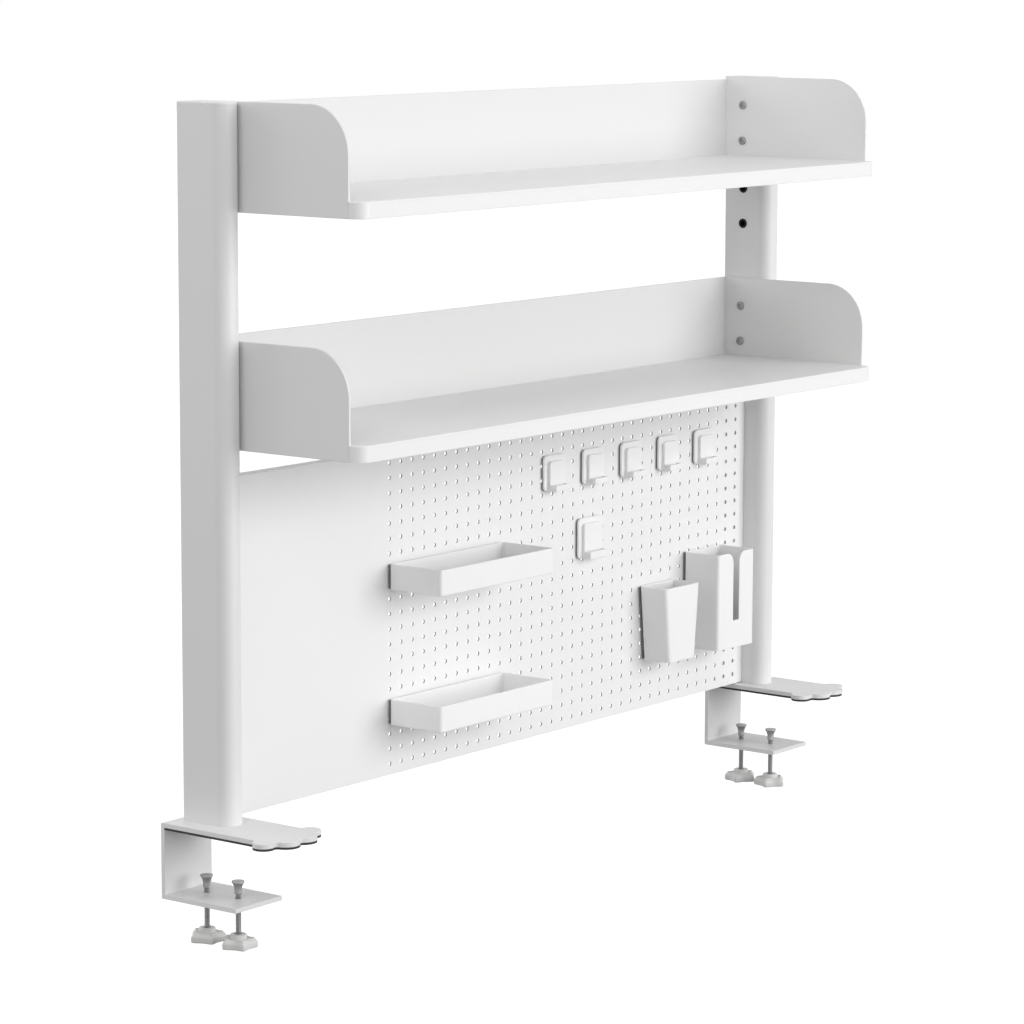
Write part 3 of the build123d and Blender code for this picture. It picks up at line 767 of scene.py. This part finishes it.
@dataclass
class StarKnob:
    """A moulded star knob with soft lobes, a domed top, a hollow underside and a round hub.

    Attributes:
        node: The plain knob that it is modelled on.
        axis: A point on the axis of its screw.
        lobes: Number of lobes.
        turn: Direction of the first lobe, in degrees.
        cage_radius: Radius of the outline's cage at the lobes, before it is smoothed.
        valley_share: Radius of that cage between the lobes, as a share.
        rim_round: Width of the rounded rims.
        rim_steps: Faces across a rounded rim.
        dome_inset: Width of the slope round the domed top.
        dome_rise: Height of that slope.
        recess_inset: Width of the wall round the hollow underside.
        recess_depth: Depth of the hollow.
        hub_radius: Radius of the hub.
        hub_height: Height of the hub above the lobes.
        hub_round: Radius of the hub's upper edge.
        hub_steps: Faces across that edge.
        hub_corners: Corners round the hub.
        mouth_radius: Radius of the mouth round the screw.
        mouth_depth: Depth of that mouth.
        smoothing: Levels of subdivision.
        smooth_angle: Edges sharper than this angle, in degrees, stay sharp.
    """

    node: str
    axis: Vector
    lobes: int = 5
    turn: float = 38.0
    cage_radius: float = 0.0264
    valley_share: float = 0.5
    rim_round: float = 0.0016
    rim_steps: int = 2
    dome_inset: float = 0.004
    dome_rise: float = 0.0012
    recess_inset: float = 0.0035
    recess_depth: float = 0.003
    hub_radius: float = 0.0095
    hub_height: float = 0.006
    hub_round: float = 0.0015
    hub_steps: int = 4
    hub_corners: int = 64
    mouth_radius: float = 0.0045
    mouth_depth: float = 0.0012
    smoothing: int = 3
    smooth_angle: float = 50.0

    def build(self) -> bpy.types.Object:
        """Model the knob in the plain knob's place.

        Returns:
            The finished piece.
        """
        low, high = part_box(self.node)
        self.bottom, self.top = low.z, high.z
        star = self.shape_star()
        hub = self.turn_hub()
        Bench.apply(star, "BOOLEAN", operation="UNION", object=hub, solver="EXACT")
        bpy.data.objects.remove(hub)
        piece = Bench.settle(star, self.node + "_star", self.smooth_angle)
        KNOB_PLASTIC.dress(piece)
        return piece

    def shape_star(self) -> bpy.types.Object:
        """Shape the lobes from a flat star, with a domed top and a hollow underside."""
        Bench.clear()
        lobe_top = self.top - self.hub_height - self.dome_rise
        bpy.ops.mesh.primitive_circle_add(vertices=2 * self.lobes, radius=self.cage_radius, fill_type="NGON",
                                          location=(self.axis.x, self.axis.y, self.bottom))
        star = bpy.context.object
        star.rotation_euler.z = math.radians(self.turn)
        bpy.ops.object.transform_apply(location=False, rotation=True, scale=False)
        step = math.pi / self.lobes
        Bench.edit()
        Bench.pick(Pick.CORNERS, lambda place, normal: self.in_valley(place, step))
        Bench.scale(self.valley_share, self.valley_share, 1)
        Bench.pick(Pick.FACES, lambda middle, normal: True)
        Bench.raise_region(lobe_top - self.bottom)
        bpy.ops.mesh.select_all(action="SELECT")
        bpy.ops.mesh.normals_make_consistent(inside=False)
        Bench.pick(Pick.FACES, lambda middle, normal: abs(normal.z) > FACING)
        bpy.ops.mesh.bevel(offset=self.rim_round, segments=self.rim_steps, affect="EDGES")
        Bench.pick(Pick.FACES, lambda middle, normal: normal.z > FACING)
        bpy.ops.mesh.inset(thickness=self.dome_inset)
        Bench.move(z=self.dome_rise)
        Bench.pick(Pick.FACES, lambda middle, normal: normal.z < -FLAT)
        bpy.ops.mesh.inset(thickness=self.recess_inset)
        bpy.ops.mesh.inset(thickness=self.rim_round)
        Bench.move(z=self.recess_depth)
        bpy.ops.object.mode_set(mode="OBJECT")
        Bench.apply(star, "SUBSURF", levels=self.smoothing, render_levels=self.smoothing)
        return star

    def in_valley(self, place: Vector, step: float) -> bool:
        """Whether a corner of the flat star lies between two lobes.

        Args:
            place: The corner, from the knob's axis.
            step: Angle from a lobe to the next valley.

        Returns:
            True between two lobes.
        """
        angle = math.atan2(place.y, place.x) - math.radians(self.turn)
        return round(angle / step) % 2 == 1

    def turn_hub(self) -> bpy.types.Object:
        """Turn the hub, with a rounded edge and a mouth round the screw."""
        Bench.clear()
        height = 2 * self.hub_height
        bpy.ops.mesh.primitive_cylinder_add(vertices=self.hub_corners, radius=self.hub_radius, depth=height,
                                            location=(self.axis.x, self.axis.y, self.top - height / 2))
        hub = bpy.context.object
        Bench.edit()
        Bench.pick(Pick.FACES, lambda middle, normal: normal.z > FACING)
        bpy.ops.mesh.bevel(offset=self.hub_round, segments=self.hub_steps, affect="EDGES")
        Bench.pick(Pick.FACES, lambda middle, normal: normal.z > FLAT and middle.xy.length < self.hub_round)
        bpy.ops.mesh.inset(thickness=self.hub_radius - self.hub_round - self.mouth_radius)
        Bench.raise_region(-self.mouth_depth)
        bpy.ops.object.mode_set(mode="OBJECT")
        return hub


@dataclass
class Clamps:
    """Both desk clamps: their plates, pads, screws, feet and knobs."""

    def dress(self) -> None:
        """Give every node its finish, and put threaded screws and moulded knobs in place."""
        for side in Side:
            FRAME_SHADED_COAT.dress(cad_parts[f"{side.value}_clamp"])
            PAD_RUBBER_AND_SHADE.dress(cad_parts[f"{side.value}_pad"])
            ZINC.dress(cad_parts[f"{side.value}_base_screws"])
        spots = [(side, f"{side.value}_{place.value}") for side in Side for place in Place]
        first = spots[0][1]
        origin = self.screw_axis(first)
        screw = ThreadedScrew(first + "_screw").build()
        knob = StarKnob(first + "_knob", origin).build()
        for side, name in spots:
            ZINC.dress(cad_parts[name + "_foot"])
            shift = Matrix.Translation(self.screw_axis(name) - origin)
            mirror_turn = 180 - 2 * StarKnob.turn if side is Side.RIGHT else 0
            spin = (Matrix.Translation(origin) @ Matrix.Rotation(math.radians(mirror_turn), 4, "Z")
                    @ Matrix.Translation(-origin))
            if name != first:
                self.mount(Bench.copy(screw, name + "_screw_thread", shift), name, "_screw", "zinc_steel")
                self.mount(Bench.copy(knob, name + "_knob_star", shift @ spin), name, "_knob", "knob_plastic")
        self.mount(screw, first, "_screw", "zinc_steel")
        self.mount(knob, first, "_knob", "knob_plastic")

    @staticmethod
    def screw_axis(name: str) -> Vector:
        """The middle of a clamp screw.

        Args:
            name: The start of the names of the screw's nodes.

        Returns:
            A point on the screw's axis.
        """
        low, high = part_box(name + "_screw")
        return (low + high) / 2

    @staticmethod
    def mount(piece: bpy.types.Object, name: str, ending: str, slot: str) -> None:
        """Put a piece in place of a node, on the screw's body.

        Args:
            piece: The finished piece.
            name: The start of the names of the screw's nodes.
            ending: The end of the node's name.
            slot: A material slot's name; not used.
        """
        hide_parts(name + ending)
        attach(piece, name + "_screw")
        LOG.info("%s: %d faces", piece.name, len(piece.data.polygons))


@dataclass
class Bushing:
    """A black plastic bushing in a spare shelf hole, with a thin flange on the post's face; its near-black
    colour is partly painted shade of the hole.

    Attributes:
        place: The middle of the hole, on the post's face.
        flange_radius: Radius of the flange.
        flange_height: How far the flange stands proud.
        sleeve_radius: Outer radius of the sleeve in the hole.
        bore_radius: Radius of its bore.
        sleeve_length: Length of the sleeve.
        corners: Number of corners round it.
        merge_share: Corners closer than this share of the flange's height are merged.
        smooth_angle: Edges sharper than this angle, in degrees, stay sharp.
    """

    place: Vector
    flange_radius: float = 0.006
    flange_height: float = 0.0005
    sleeve_radius: float = 0.0044
    bore_radius: float = 0.0036
    sleeve_length: float = 0.012
    corners: int = 48
    merge_share: float = 0.1
    smooth_angle: float = 40.0

    def build(self) -> bpy.types.Object:
        """Model the bushing of a left post, whose hole opens towards +X.

        Returns:
            The finished piece.
        """
        Bench.clear()
        bpy.ops.mesh.primitive_circle_add(vertices=self.corners, radius=self.flange_radius,
                                          location=self.place, rotation=(0, math.pi / 2, 0))
        bushing = bpy.context.object
        bpy.ops.object.transform_apply(location=False, rotation=True, scale=False)
        rings = ((self.flange_radius, self.flange_height), (self.bore_radius, self.flange_height),
                 (self.bore_radius, -self.sleeve_length), (self.sleeve_radius, -self.sleeve_length),
                 (self.sleeve_radius, 0), (self.flange_radius, 0))
        Bench.edit()
        bpy.ops.mesh.select_all(action="SELECT")
        radius, height = self.flange_radius, 0
        for next_radius, next_height in rings:
            step = {"value": (next_height - height, 0, 0)}
            bpy.ops.mesh.extrude_region_move(TRANSFORM_OT_translate=step)
            Bench.scale(1, next_radius / radius, next_radius / radius)
            radius, height = next_radius, next_height
        bpy.ops.mesh.select_all(action="SELECT")
        bpy.ops.mesh.remove_doubles(threshold=self.flange_height * self.merge_share)
        bpy.ops.mesh.normals_make_consistent(inside=False)
        bpy.ops.object.mode_set(mode="OBJECT")
        piece = Bench.settle(bushing, "left_bushing_1", self.smooth_angle)
        BUSHING_PLASTIC_AND_SHADE.dress(piece)
        return piece


@dataclass
class Posts:
    """The two posts, their caps and the bushings in their spare shelf holes.

    Attributes:
        hole_reach: Distance of the spare holes from the posts' backs.
        hole_heights: Heights of the spare holes.
    """

    hole_reach: float = 0.027
    hole_heights: tuple[float, ...] = (0.604, 0.649)

    def dress(self) -> None:
        """Give every node its finish, and put a bushing in each spare hole."""
        for side in Side:
            FRAME_SHADED_COAT.dress(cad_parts[f"{side.value}_post"])
            CAP_WHITE.dress(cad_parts[f"{side.value}_post_cap"])
            LOG.info("%s post and cap dressed", side.value)
        left_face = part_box("left_post")[1].x
        first = Bushing(Vector((left_face, -self.hole_reach, self.hole_heights[0]))).build()
        bushings = [first]
        middle = Matrix.Translation((0, -self.hole_reach, 0))
        half_turn = middle @ Matrix.Rotation(math.pi, 4, "Z") @ middle.inverted()
        for side in Side:
            for number, height in enumerate(self.hole_heights, 1):
                change = Matrix.Translation((0, 0, height - self.hole_heights[0]))
                if side is Side.RIGHT:
                    change = half_turn @ change
                if side is Side.RIGHT or number > 1:
                    bushings.append(Bench.copy(first, f"{side.value}_bushing_{number}", change))
        for piece in bushings:
            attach(piece, "base")
        LOG.info("%d bushings", len(bushings))


@dataclass
class Shelves:
    """Both shelves with their end plates, back panels and fasteners.

    Attributes:
        levels: The starts of the names of the shelves' nodes.
        finishes: The ends of those names, with the finish of each.
    """

    levels: tuple[str, ...] = ("upper", "lower")
    finishes: tuple[tuple[str, Finish], ...] = (
        ("deck", POWDER_COAT), ("left_end", FRAME_SHADED_COAT), ("right_end", FRAME_SHADED_COAT),
        ("back_panel", BACK_PANEL_SHADED_COAT), ("nuts", ZINC), ("bolts", ZINC),
    )

    def dress(self) -> None:
        """Give every node its finish."""
        for level in self.levels:
            for name, finish in self.finishes:
                finish.dress(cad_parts[f"{level}_{name}"])
            LOG.info("%s shelf dressed", level)


@dataclass
class Pegboard:
    """The perforated panel and its screws."""

    def dress(self) -> None:
        """Give both nodes their finish."""
        BOARD_LIT_COAT.dress(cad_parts["pegboard"])
        ZINC.dress(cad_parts["pegboard_screws"])
        LOG.info("pegboard dressed")


@dataclass
class Accessories:
    """The trays, cup, holder and hooks, each with its peg plate.

    Attributes:
        plate_ending: The end of the names of the peg plates.
    """

    plate_ending: str = "_peg_plate"

    def dress(self) -> None:
        """Give every node its finish."""
        plates = [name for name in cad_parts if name.endswith(self.plate_ending)]
        for plate in plates:
            body = plate.removesuffix(self.plate_ending)
            # Each peg plate's dark colour is painted shade in the gap behind the accessory.
            PEG_PLATE_SHADE.dress(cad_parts[plate])
            MOULDED_WHITE.dress(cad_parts[body])
            LOG.info("%s dressed", body)


@dataclass(frozen=True)
class Lamp:
    """A soft rectangular lamp.

    Attributes:
        name: Its name.
        place: Where it hangs, in metres.
        target: What it points at.
        size: Width and height, in metres.
        power: Its power in watts.
    """

    name: str
    place: tuple[float, float, float]
    target: tuple[float, float, float]
    size: tuple[float, float]
    power: float

    def hang(self) -> None:
        """Add the lamp to the scene."""
        data = bpy.data.lights.new(self.name, "AREA")
        data.shape = "RECTANGLE"
        data.size, data.size_y = self.size
        data.energy = self.power
        lamp = bpy.data.objects.new(self.name, data)
        lamp.location = self.place
        aim = Vector(self.target) - Vector(self.place)
        lamp.rotation_euler = aim.to_track_quat("-Z", "Y").to_euler()
        bpy.context.scene.collection.objects.link(lamp)


@dataclass
class Studio:
    """The floor, the light and the camera.

    Attributes:
        floor_size: Width of the square floor.
        floor_drop: Gap between the lowest knob and the floor.
        sky: Strength of the even light from all sides.
        floor_glow: Light that the floor gives off to the camera.
        floor_shade: Share of the floor's own shade that stays.
        camera_place: Where the camera stands.
        azimuth: Its turn about the upright axis, in degrees.
        pitch: How far it looks down, in degrees.
        roll: Its tilt about its own axis, in degrees.
        lens: Focal length in millimetres.
        sensor: Width of the sensor in millimetres.
        sight: How far the camera sees, in metres.
        lamps: The lamps round the object.
    """

    floor_size: float = 30.0
    floor_drop: float = 0.012
    sky: float = 0.58
    floor_glow: float = 0.9
    floor_shade: float = 0.3
    camera_place: tuple[float, float, float] = (-3.5402, -2.7757, 0.9574)
    azimuth: float = -52.32
    pitch: float = 8.483
    roll: float = 0.165
    lens: float = 134.07
    sensor: float = 36.0
    sight: float = 100.0
    lamps: tuple[Lamp, ...] = field(default_factory=lambda: (
        Lamp("front_lamp", (1.2, -4.3, 1.2), (0.0, 0.0, 0.4), (3.5, 2.6), 128.0),
        Lamp("left_lamp", (-3.4, -0.9, 2.9), (0.0, -0.1, 0.5), (2.0, 2.0), 31.0),
        Lamp("rear_lamp", (-1.6, 3.6, 2.2), (0.2, 0.0, 0.5), (2.5, 2.5), 45.0),
    ))

    def build(self) -> None:
        """Set up the whole studio."""
        bpy.context.scene.view_settings.view_transform = "Standard"
        self.lay_floor()
        self.light_sky()
        for lamp in self.lamps:
            lamp.hang()
        self.place_camera()

    def lay_floor(self) -> None:
        """Lay a pale floor under the lowest knob."""
        Bench.clear()
        floor_height = CAD_BOX[0].z - self.floor_drop
        bpy.ops.mesh.primitive_plane_add(size=self.floor_size, location=(0, 0, floor_height))
        floor = bpy.context.object
        floor.name = "studio_floor"
        material = bpy.data.materials.new("studio_floor")
        material.use_nodes = True
        sheet = Sheet(material.node_tree)
        shade = sheet.add("ShaderNodeBsdfDiffuse")
        shade.inputs["Color"].default_value = (self.floor_shade,) * 3 + (1.0,)
        glow = sheet.add("ShaderNodeEmission")
        seen = self.seen_directly(sheet)
        sheet.link(sheet.math("MULTIPLY", seen, self.floor_glow), glow.inputs["Strength"])
        both = sheet.add("ShaderNodeAddShader")
        sheet.link(shade.outputs[0], both.inputs[0])
        sheet.link(glow.outputs[0], both.inputs[1])
        sheet.link(both.outputs[0], sheet.add("ShaderNodeOutputMaterial").inputs["Surface"])
        floor.data.materials.append(material)

    @staticmethod
    def seen_directly(sheet: Sheet) -> bpy.types.NodeSocket:
        """A mask of what the camera sees, straight on or in gloss and glass.

        Args:
            sheet: The node tree to add it to.

        Returns:
            The mask's socket.
        """
        path = sheet.add("ShaderNodeLightPath")
        glossy = sheet.math("MAXIMUM", path.outputs["Is Camera Ray"], path.outputs["Is Glossy Ray"])
        return sheet.math("MAXIMUM", glossy, path.outputs["Is Transmission Ray"])

    def light_sky(self) -> None:
        """Make the world white to the camera and an even, weaker light to the object."""
        world = bpy.data.worlds.new("studio_sky")
        world.use_nodes = True
        sheet = Sheet(world.node_tree)
        sky = sheet.add("ShaderNodeBackground")
        sheet.link(sheet.spread(self.seen_directly(sheet), self.sky, 1.0), sky.inputs["Strength"])
        sky.inputs["Color"].default_value = WHITE
        sheet.link(sky.outputs[0], sheet.add("ShaderNodeOutputWorld").inputs["Surface"])
        bpy.context.scene.world = world

    def place_camera(self) -> None:
        """Put the camera where the photograph was taken from."""
        data = bpy.data.cameras.new("photo_camera")
        data.lens = self.lens
        data.sensor_width = self.sensor
        data.clip_end = self.sight
        camera = bpy.data.objects.new("photo_camera", data)
        turn = (Matrix.Rotation(math.radians(self.azimuth), 4, "Z")
                @ Matrix.Rotation(math.radians(90 - self.pitch), 4, "X")
                @ Matrix.Rotation(math.radians(self.roll), 4, "Z"))
        camera.matrix_world = Matrix.Translation(self.camera_place) @ turn
        bpy.context.scene.collection.objects.link(camera)
        bpy.context.scene.camera = camera


def main() -> None:
    """Dress the sub-assemblies in order, then set up the studio."""
    logging.basicConfig(level=logging.INFO, format="%(name)s: %(message)s")
    for assembly in (Posts(), Clamps(), Shelves(), Pegboard(), Accessories()):
        assembly.dress()
    Studio().build()


if __name__ == "__main__":
    main()
